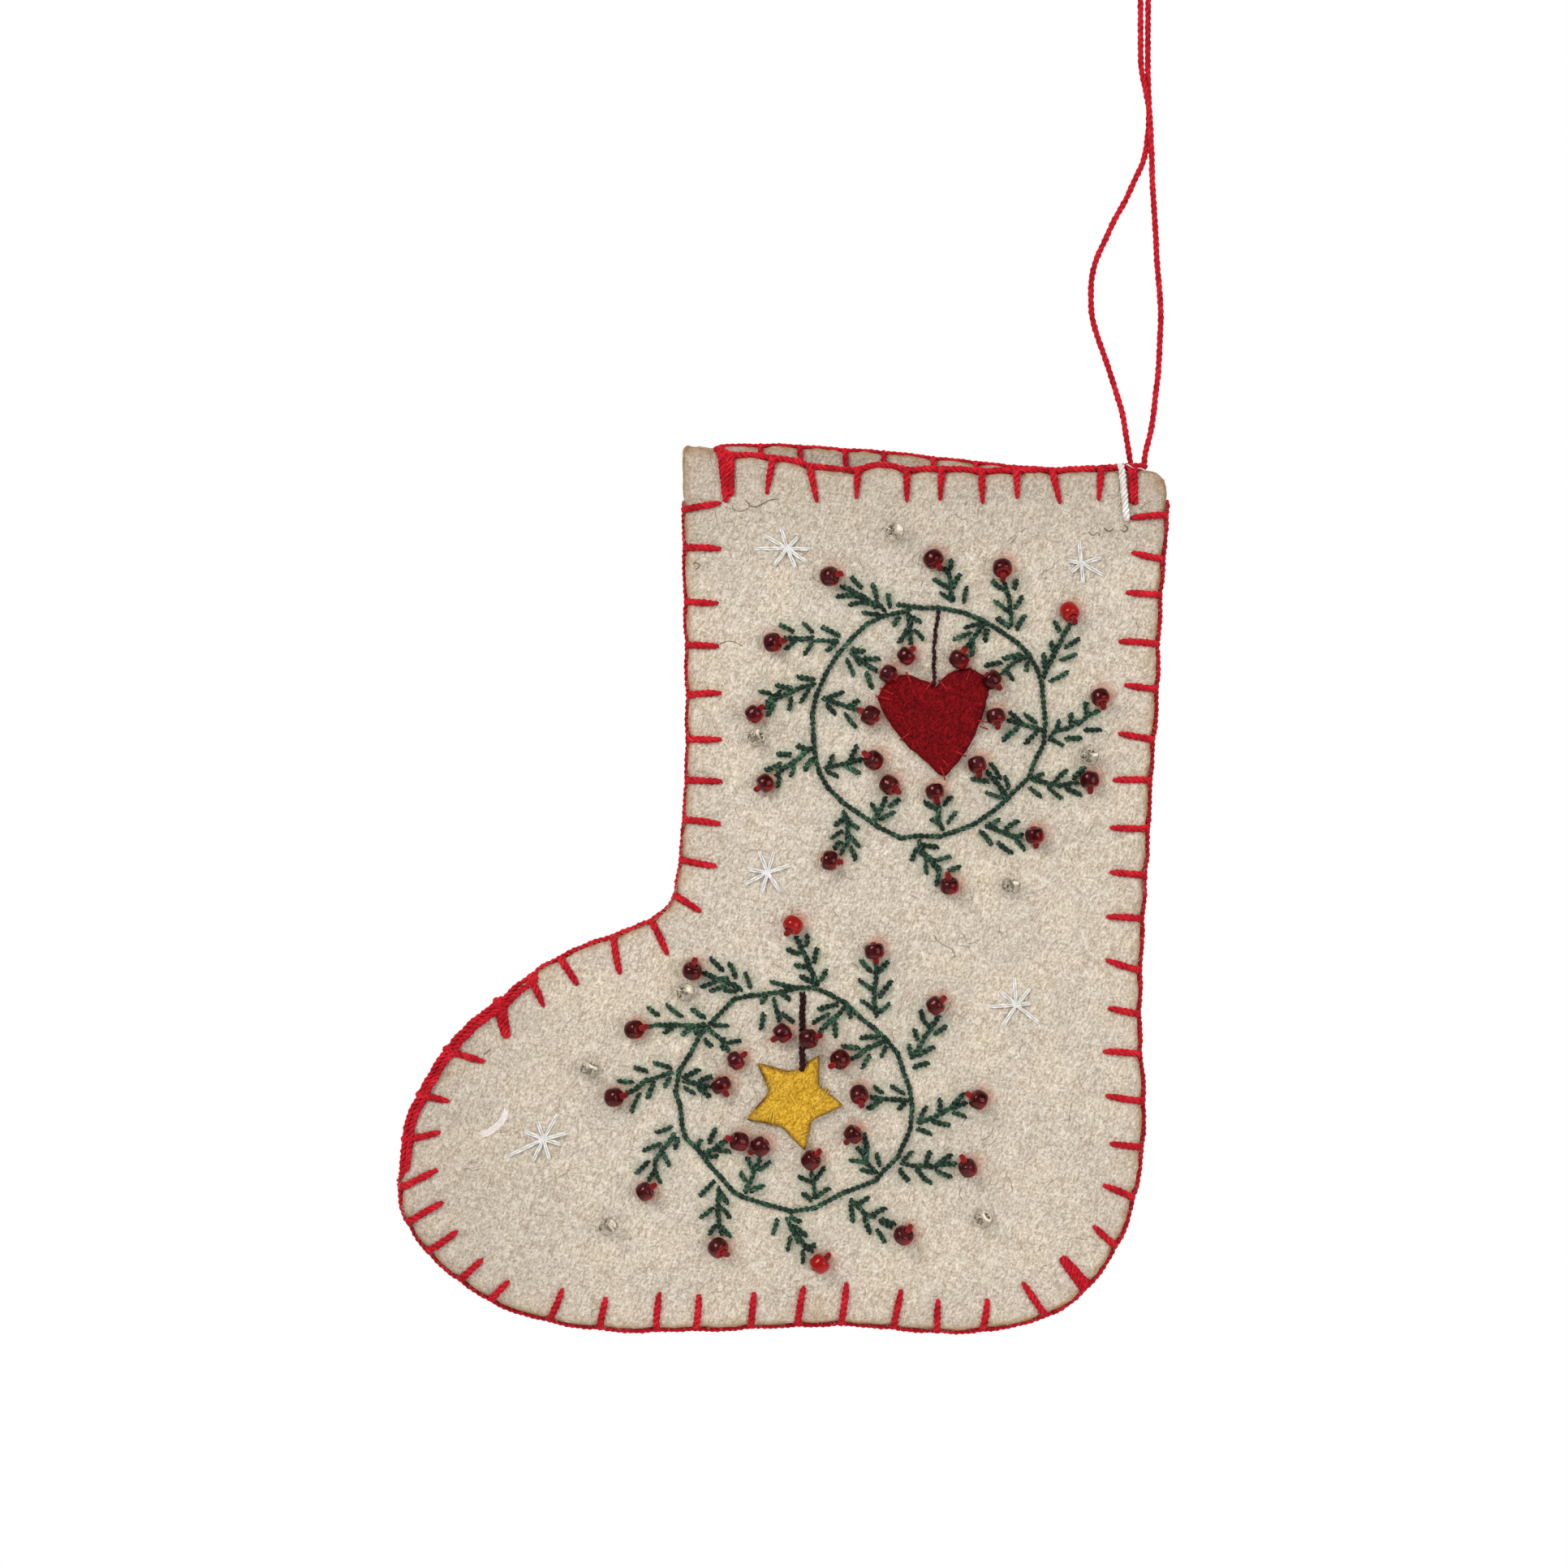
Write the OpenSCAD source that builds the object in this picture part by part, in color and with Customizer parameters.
// Embroidered felt stocking on a yarn hanging loop.
// Two felt panels are blanket-stitched together round leg, heel, sole and toe, open at the mouth.
// The front carries two stitched wreaths with glass beads, a felt heart and a felt star.
// Frame: origin at the centre of the hanging eye, +X to the heel side, -Y to the decorated front,
// +Z up. Millimetres. Pattern points are [x, z].

/* [Felt panels] */
// How far the felt edge lies inside the finished outline
edge_inset = 0.75; // [0.6:0.05:0.9]
// Thickness of the felt
felt_t = 1.7; // [1.4:0.1:2]
// Clearance from the parting plane to each panel at the seam
seam_gap = 0.03; // [0.02:0.01:0.06]
// Outward bow of each panel at the mouth
mouth_bow = 3; // [2.6:0.1:3.6]
// Outward bow of each panel down the leg
leg_bow = 2.6; // [2.4:0.1:3]
// Outward bow of each panel in the foot
foot_bow = 2.4; // [2:0.1:2.8]
// Dip of the front mouth edge below the straight line between its corners
front_dip = 1.4; // [0.8:0.1:1.8]
// Rise of the back mouth edge above that line
back_rise = 0.8; // [0.4:0.1:1]

/* [Mouth that opens] */
// Share of the leg width left fixed beside the front-of-leg seam
flex_left = 0.111; // [0.105:0.002:0.115]
// Share of the leg width left fixed beside the back-of-leg seam
flex_right = 0.0875; // [0.08:0.0025:0.09]
// Clearance round the part of the front panel that opens
flex_gap = 0.45; // [0.4:0.05:0.5]

/* [Yarn and thread] */
// Diameter of the red wool yarn
yarn_d = 0.9; // [0.7:0.05:1]
// Diameter of the embroidery floss
floss_d = 0.56; // [0.4:0.02:0.64]
// Diameter of the white thread of the snow stars
snow_d = 0.4; // [0.3:0.02:0.5]
// Diameter of the fine sewing thread
thread_d = 0.34; // [0.24:0.02:0.4]

/* [Beads] */
// Outer diameter of a glass seed bead
bead_d = 2.9; // [2.4:0.1:3.1]
// Length of a bead along its bore
bead_l = 2.1; // [1.7:0.1:2.3]
// Diameter of a bead's bore
bead_bore = 0.9; // [0.8:0.05:1]

/* [Hanging loop] */
// Inner radius of the hanging eye
eye_r = 2.6; // [2.2:0.1:3]
// Angle of yarn that wraps the hook
eye_wrap = 284; // [276:2:290]
// Bite of the hook into the inside of the yarn
eye_bite = 0.09; // [0.05:0.01:0.12]

/* [Appliques] */
// Thickness of the heart and star felt
applique_t = 1.1; // [0.8:0.1:1.4]

/* [Hidden] */
$fn = 48;

cream = [0.86, 0.81, 0.72];
red = [0.68, 0.09, 0.11];
green = [0.08, 0.24, 0.16];
brown = [0.2, 0.09, 0.08];
white = [0.95, 0.94, 0.93];
ruby = [0.4, 0.03, 0.05];
clear_glass = [0.8, 0.8, 0.76, 0.5];
gold = [0.82, 0.64, 0.14];

yarn_gap = 0.03;     // clearance of yarn from felt
stitch_gap = 0.02;   // clearance of floss and thread from felt
hanger_gap = 0.04;   // clearance of the hanger threads from felt
bead_gap = 0.03;     // clearance of beads and their thread from felt
applique_gap = 0.05; // clearance of the heart and star from felt
ring_trim = 0.12;    // each ring stitch stops this far short of its ends
chain_trim = 0.1;    // the same for the crescent and the hanger threads
snow_hole_r = 0.5;   // open middle of a snow star
float_depth = 0.2;   // depth of the thread floats behind the front panel

// Ribs of the finished outline, from the mouth round the ankle to the toe:
// [front-of-leg x, z, back-of-leg x, z].
ribs = [
  [-68.4, -79.2, 2.88, -83.52], [-68.4, -83.04, 3.36, -86.64], [-68.28, -92.4, 3, -93.6],
  [-68.04, -104.4, 2.16, -105], [-67.8, -116.4, 1.8, -116.4], [-67.92, -127.2, 0.96, -127.2],
  [-68.52, -136.8, 0.48, -136.8], [-69.12, -142.56, 0.12, -142.56],
  [-70.08, -146.52, -0.12, -146.52], [-71.88, -148.56, -0.6, -156],
  [-74.88, -150.36, -0.72, -166.8], [-79.68, -152.16, -0.12, -177.6],
  [-85.44, -154.44, -1.2, -188.64], [-90.84, -157.32, -4.8, -198.36],
  [-96, -161.16, -12.84, -206.88], [-100.44, -164.64, -26.64, -210.12],
  [-104.04, -168.72, -45.24, -209.04], [-107.28, -174, -65.04, -209.76],
  [-109.44, -178.56, -81.24, -209.64], [-110.16, -182.64, -95.04, -206.4],
  [-110.4, -186, -104.64, -199.92], [-110.52, -187.8, -109.08, -194.16],
  [-110.4, -188.88, -110.04, -191.64]
];
flex_rib = 8; // rib the mouth flexes about
last_rib = len(ribs) - 1;

// Blanket stitches: [x, z at the edge, x, z of the needle hole].
instep_stitches = [
  [-68.4, -88.44, -63.24, -87.6], [-68.4, -94.08, -63.12, -94.32],
  [-68.28, -102, -63.6, -102.36], [-68.04, -108.48, -63.48, -108.72],
  [-67.8, -115.92, -63.12, -115.68], [-67.8, -122.4, -63.12, -122.52],
  [-67.92, -128.52, -63, -128.76], [-68.4, -134.4, -63.24, -135],
  [-68.88, -140.28, -63.84, -141.24], [-69.72, -145.56, -66.12, -147.84],
  [-73.08, -149.52, -70.92, -154.08], [-78.72, -152.04, -77.88, -156.96],
  [-86.64, -154.92, -84.24, -158.64], [-91.2, -157.56, -89.28, -161.76]
];
instep_wide_stitch = [-95.64, -161.04, -94.68, -166.32];
sole_stitches = [
  [-102.24, -167.76, -98.16, -169.92], [-107.28, -174.6, -103.44, -176.04],
  [-109.8, -181.8, -104.76, -180.72], [-110.16, -188.88, -105.12, -186.36],
  [-109.2, -194.04, -104.28, -191.16], [-106.2, -198.24, -102.12, -195.48],
  [-101.52, -202.56, -98.4, -199.68], [-96.84, -205.44, -94.44, -202.92],
  [-88.2, -208.32, -86.4, -204.12], [-80.88, -209.64, -79.92, -205.32],
  [-72.48, -210, -72, -204.72], [-66.6, -209.88, -66.12, -204.96],
  [-58.44, -209.28, -57.96, -204.6], [-51.48, -208.92, -50.64, -203.76],
  [-45.12, -209.16, -44.28, -203.16], [-37.32, -209.64, -36.24, -204.24],
  [-30.84, -210.12, -30.72, -205.68], [-24.12, -210.12, -23.4, -205.68],
  [-14.88, -207.84, -18, -203.16]
];
back_wide_stitch = [-8.88, -203.52, -12.12, -199.56];
back_stitches = [
  [-4.44, -197.52, -7.44, -194.76], [-1.56, -190.56, -5.88, -188.64],
  [-0.36, -183, -4.92, -182.4], [0, -176.16, -5.52, -175.32],
  [-0.36, -169.2, -5.88, -168.72], [-0.6, -163.32, -5.16, -162.36],
  [-0.48, -156.84, -5.52, -155.28], [0, -149.16, -5.4, -148.8],
  [0.24, -142.68, -4.92, -142.2], [0.6, -135.72, -4.92, -135.6],
  [1.08, -128.64, -4.44, -128.52], [1.56, -122.64, -3.72, -121.68],
  [1.92, -115.08, -2.76, -114.48], [2.16, -108.48, -3.6, -108],
  [2.4, -101.16, -2.52, -100.8], [2.88, -95.88, -1.68, -94.92], [3.36, -89.28, -1.92, -89.76]
];
// Hem stitches: [x at the mouth edge, sideways lean, length].
front_hem = [
  [-55.2, -0.84, 4.56], [-49.68, 0.96, 4.56], [-42.6, -0.24, 3.6], [-35.4, 0, 4.08],
  [-30.24, -0.24, 3.96], [-24.36, 0.12, 4.08], [-19.2, 0.12, 3.6], [-13.8, 0.96, 4.2],
  [-6.84, -0.36, 4.08]
];
back_hem = [
  [-57, 0.12, 4.56], [-51.12, 0.12, 4.8], [-44.4, 0.24, 4.56], [-38.64, 0.12, 4.56],
  [-31.2, 0.12, 4.8], [-24.84, 0.12, 4.56], [-19.2, 0.12, 4.56], [-13.8, -0.24, 4.8],
  [-8.64, 0.24, 4.56]
];
// Ends of the edge yarn along each mouth edge, in x.
front_hem_ends = [-59.76, -4.32];
back_hem_ends = [-63.36, -3.36];

// ---- Wreath tables: every point is [x, z] from the centre of its wreath ----
upper = [-31.44, -119.4];
lower = [-51.6, -175.44];

// Wreath rings, one point per stem stitch.
upper_ring = [
  [-5.04, 16.68], [-2.04, 16.32], [0.84, 16.2], [4.8, 15.48], [7.2, 14.4], [9.96, 12.84],
  [12.24, 11.16], [14.04, 9.48], [15.24, 7.2], [16.08, 4.8], [16.2, 2.04], [16.56, -0.96],
  [16.2, -3.84], [14.88, -6.6], [14.16, -8.64], [12, -10.8], [10.8, -12], [8.64, -13.92],
  [6, -15.6], [3.12, -16.8], [0.96, -17.4], [-1.92, -17.4], [-4.8, -17.64], [-8.4, -15.96],
  [-11.16, -13.92], [-13.56, -12.36], [-15.6, -10.2], [-16.92, -8.04], [-17.4, -6],
  [-17.76, -3], [-17.88, 0.6], [-17.28, 3.6], [-15.84, 6.6], [-14.16, 9.48], [-12, 11.76],
  [-9.84, 13.92], [-7.44, 15], [-4.8, 15.24]
];
lower_ring = [
  [-3.6, 17.04], [-0.48, 16.32], [2.52, 16.2], [4.8, 15.36], [7.2, 13.92], [9.36, 11.88],
  [11.28, 10.32], [13.32, 8.52], [14.76, 6.6], [15.6, 4.32], [16.56, 1.44], [17.04, -1.56],
  [16.68, -4.56], [15.6, -7.2], [14.88, -8.64], [12.96, -10.68], [11.52, -12.24],
  [6.96, -14.04], [2.76, -16.2], [-0.84, -16.8], [-4.44, -15.72], [-8.04, -14.64],
  [-9.24, -13.92], [-11.04, -12], [-12.72, -10.08], [-14.64, -7.68], [-16.44, -5.88],
  [-17.04, -3.96], [-17.28, -0.96], [-18, 0.84], [-17.4, 3.84], [-15.96, 6.24],
  [-14.28, 9.24], [-12, 11.88], [-9.24, 14.52], [-6.84, 15.12], [-3.24, 15.48]
];
// Sprigs: [bead, point its bore aims at, stem and leaf stitches as [x, z, x, z] end to end].
upper_outer = [
[[-15.36, 20.88], [-13.92, 21.24], [
  [-13.68, 19.44, -11.76, 18.72], [-12.24, 18.84, -10.32, 18], [-10.8, 18.12, -8.4, 16.32],
  [-8.64, 17.28, -7.2, 15.72], [-12.12, 20.88, -10.56, 19.2], [-9, 19.8, -8.4, 17.52],
  [-14.28, 18, -12, 18.12], [-12.84, 18.24, -10.32, 17.76], [-12.36, 16.8, -9.84, 17.28],
  [-10.56, 17.16, -8.16, 16.8], [-10.44, 15.6, -8.04, 15.36], [-6.72, 18.24, -6.48, 16.44]]],
[[-0.12, 23.4], [0.96, 21.96], [
  [1.32, 22.2, 2.28, 21.24], [2.16, 21.48, 2.52, 19.56], [2.4, 19.56, 2.88, 17.4],
  [0, 20.52, 2.16, 19.2], [0.96, 18.48, 2.76, 17.28], [2.64, 23.28, 2.4, 21.96],
  [3.96, 21.24, 2.76, 19.2], [4.92, 19.32, 4.44, 17.04]]],
[[10.08, 22.08], [10.2, 20.28], [
  [10.44, 20.04, 10.8, 18.36], [10.92, 18.6, 11.28, 16.44], [11.28, 16.44, 11.4, 13.68],
  [8.64, 20.28, 10.2, 18.96], [9, 17.28, 10.92, 15.72], [9.48, 14.76, 11.16, 13.44],
  [12.24, 20.28, 11.88, 19.08], [13.08, 17.88, 12, 16.32], [13.44, 15.12, 12.24, 13.2]]],
[[20.04, 15.72], [20.76, 14.4], [
  [20.28, 13.92, 19.2, 12.36], [19.32, 12.48, 18.36, 10.44], [18.36, 10.56, 17.04, 7.8],
  [17.4, 8.76, 16.2, 5.88], [18, 14.28, 18.6, 12.84], [17.4, 11.28, 17.64, 9.84],
  [16.32, 9.48, 16.44, 7.32], [21.6, 11.76, 19.44, 10.44], [21.12, 9.48, 18.72, 8.52],
  [19.92, 6.84, 17.04, 5.4]]],
[[24.6, 3.12], [25.2, 1.32], [
  [24.48, 1.08, 22.92, 0.36], [23.16, 0.72, 21.24, -0.96], [21.6, -0.48, 19.68, -1.56],
  [19.92, -1.44, 17.76, -1.92], [22.56, 2.28, 22.68, 0.6], [20.4, 0.6, 20.28, -0.96],
  [18.6, -0.36, 18, -1.8], [24.84, -1.68, 22.44, -1.68], [21.72, -3, 19.68, -3],
  [19.2, -4.08, 17.28, -3.12], [18, -1.8, 17.16, -3.24]]],
[[23.04, -9.12], [23.16, -10.68], [
  [21.36, -9.6, 19.68, -9.72], [20.16, -9.72, 18.48, -9.96], [18.72, -9.96, 16.32, -9.6],
  [16.8, -9.6, 14.4, -9], [22.44, -7.2, 20.64, -8.88], [19.68, -7.8, 18, -9.24],
  [16.32, -8.16, 14.64, -9], [21.84, -11.4, 19.68, -10.44], [18.96, -11.88, 17.04, -10.2],
  [15.96, -11.64, 14.16, -10.2]]],
[[14.88, -17.28], [15.12, -18.84], [
  [13.08, -17.28, 11.76, -17.52], [12.24, -17.64, 10.56, -16.92], [10.8, -17.04, 8.88, -16.2],
  [9.12, -16.32, 7.68, -15.96], [12.48, -15.24, 10.56, -16.44], [9.72, -15, 8.16, -15.72],
  [13.44, -19.44, 12.24, -18], [11.52, -19.92, 9.48, -18.36], [8.52, -18.72, 6.96, -16.68]]],
[[2.28, -24.72], [2.04, -22.8], [
  [0.72, -23.4, 0.72, -21.72], [0.96, -22.44, -0.24, -21.24], [0, -21.48, -1.92, -19.8],
  [-1.68, -20.04, -2.16, -18.12], [3.84, -21.96, 2.16, -22.44], [2.52, -20.4, 0.48, -21],
  [0.6, -19.08, -1.68, -18.72], [-1.2, -20.76, 0.24, -21], [0.36, -24.6, 0.72, -22.92],
  [-1.08, -22.92, -1.2, -21.24], [-3.24, -21, -2.4, -19.08], [-0.48, -20.76, -1.92, -19.32]]],
[[-15.36, -21], [-13.2, -21.36], [
  [-13.68, -20.16, -12.96, -18.6], [-12.84, -18.84, -12.72, -16.68],
  [-12.72, -16.92, -12.72, -14.52], [-12.84, -15.24, -13.2, -13.8],
  [-14.64, -19.2, -13.68, -18.24], [-15.12, -17.76, -13.44, -16.68],
  [-14.52, -15.72, -12.96, -14.52], [-11.52, -21, -12.24, -19.08],
  [-11.04, -18.96, -12.36, -17.28], [-11.04, -16.32, -12.36, -15.36]]],
[[-24.84, -9.6], [-25.92, -10.32], [
  [-23.28, -8.4, -22.08, -7.2], [-22.56, -7.56, -20.4, -6.36], [-20.88, -6.6, -19.2, -5.4],
  [-19.44, -5.4, -18, -4.44], [-24.84, -7.68, -22.56, -6.72], [-22.92, -5.28, -21.12, -5.4],
  [-20.04, -4.08, -18.24, -4.68], [-21.12, -8.52, -20.52, -7.08], [-18.96, -7.56, -18, -6.12],
  [-22.92, -10.2, -22.68, -8.64]]],
[[-26.52, 0.6], [-25.44, 1.56], [
  [-24.84, 1.56, -22.8, 3.24], [-23.28, 3, -20.88, 3.96], [-21.12, 3.84, -19.2, 4.68],
  [-19.44, 4.56, -17.52, 5.04], [-25.68, 3.96, -24, 3.6], [-23.16, 4.92, -20.88, 4.44],
  [-20.16, 6.12, -17.64, 5.64], [-24.48, 0.48, -23.52, 2.04], [-21.36, 1.2, -21, 3],
  [-19.68, 2.28, -18.24, 4.44], [-24.72, 2.28, -22.56, 3.96]]],
[[-23.76, 11.16], [-22.2, 11.4], [
  [-22.08, 11.76, -19.68, 11.76], [-19.92, 11.64, -17.76, 11.88], [-17.28, 11.52, -14.04, 11.4],
  [-22.68, 13.8, -20.64, 12.72], [-19.2, 14.04, -17.88, 12.6], [-16.44, 13.44, -13.92, 12.12],
  [-21.84, 10.2, -20.4, 11.4], [-19.08, 9.48, -17.76, 11.4], [-15.72, 9.96, -14.4, 11.16]]]
];
upper_inner = [
[[-4.08, 9.12], [-2.88, 10.44], [
  [-3.36, 10.92, -3.48, 12.6], [-3.48, 12.36, -3.48, 14.76], [-3.48, 13.8, -3.72, 15.36],
  [-5.16, 11.16, -3.96, 13.08], [-5.88, 13.8, -5.04, 14.76], [-1.56, 11.64, -2.76, 12.96],
  [-2.04, 14.16, -3.24, 15]]],
[[3.72, 8.64], [4.44, 9.96], [
  [4.68, 10.44, 5.76, 11.64], [5.52, 11.4, 6.96, 13.32], [6.72, 13.08, 7.92, 14.04],
  [4.56, 13.32, 6.96, 13.92], [2.88, 11.64, 5.52, 12.6], [5.64, 9.24, 5.76, 11.16],
  [7.56, 11.4, 7.92, 13.08]]],
[[8.52, 5.64], [9.6, 4.56], [
  [10.08, 6.6, 11.4, 7.8], [10.92, 7.56, 12.72, 8.88], [12.24, 8.52, 13.92, 9.12],
  [7.68, 7.8, 9.96, 8.16], [10.2, 8.76, 12.96, 9.36], [11.64, 5.64, 10.8, 7.08],
  [13.68, 6.96, 13.92, 8.28]]],
[[9.12, 0.24], [9.48, -1.56], [
  [11.04, -0.24, 12.72, -0.84], [12.48, -0.6, 14.4, -1.32], [14.16, -1.2, 16.08, -1.8],
  [11.16, 0.96, 12.96, -0.72], [13.44, 0.6, 15.12, -0.72], [10.2, -3.24, 12.48, -1.44],
  [13.44, -3.84, 15.36, -2.04]]],
[[6.36, -6.84], [6.72, -8.28], [
  [8.4, -6.6, 9.84, -9], [7.92, -7.8, 9.36, -9.72], [9.12, -8.76, 10.32, -11.16],
  [9.6, -9.72, 10.8, -11.4], [5.64, -8.88, 8.16, -9.36], [7.68, -10.92, 10.32, -11.76],
  [10.56, -8.64, 11.04, -10.44]]],
[[0.12, -10.8], [0.48, -12.36], [
  [0.72, -12.6, 0.72, -13.8], [0.72, -13.56, 0.72, -15.24], [0.72, -15, 1.32, -16.44],
  [-1.32, -12.36, 0.24, -13.32], [-0.36, -14.88, 1.2, -15.96], [2.64, -11.64, 1.56, -12.84],
  [3.36, -13.92, 2.04, -15.48]]],
[[-6.6, -9.84], [-5.16, -10.92], [
  [-7.08, -11.76, -7.68, -13.08], [-7.44, -12.72, -8.4, -14.28], [-8.16, -13.8, -8.88, -15.12],
  [-9.12, -12.6, -8.52, -13.8], [-5.04, -12, -6.48, -12.96], [-5.76, -13.92, -7.92, -15]]],
[[-8.88, -6.24], [-10.08, -5.28], [
  [-10.56, -6.12, -12.48, -6.6], [-12, -6.48, -14.64, -7.08], [-13.92, -6.96, -16.08, -7.32],
  [-11.28, -4.08, -12.36, -6.12], [-14.88, -5.52, -15.48, -6.84],
  [-11.04, -8.16, -13.08, -6.96], [-14.04, -8.64, -15.84, -7.8]]],
[[-9.36, 0.36], [-10.68, 1.08], [
  [-10.92, 1.08, -12.72, 1.68], [-12.24, 1.44, -14.4, 2.28], [-13.92, 2.04, -16.32, 3],
  [-11.04, 2.64, -12.48, 1.68], [-13.32, 3.84, -15.6, 3.12], [-11.4, -1.44, -13.08, 0.72],
  [-14.52, 0.6, -15.84, 2.04]]],
[[-6.72, 6.48], [-5.64, 5.88], [
  [-8.4, 6.96, -9.6, 7.56], [-9.12, 7.32, -10.8, 8.64], [-10.56, 8.28, -12.24, 9.72],
  [-8.04, 8.76, -10.32, 8.88], [-10.32, 9.84, -12, 10.2], [-11.76, 6.24, -12.84, 8.76],
  [-9.12, 4.44, -9.84, 6.72], [-10.8, 8.04, -11.28, 8.76]]]
];
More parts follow.
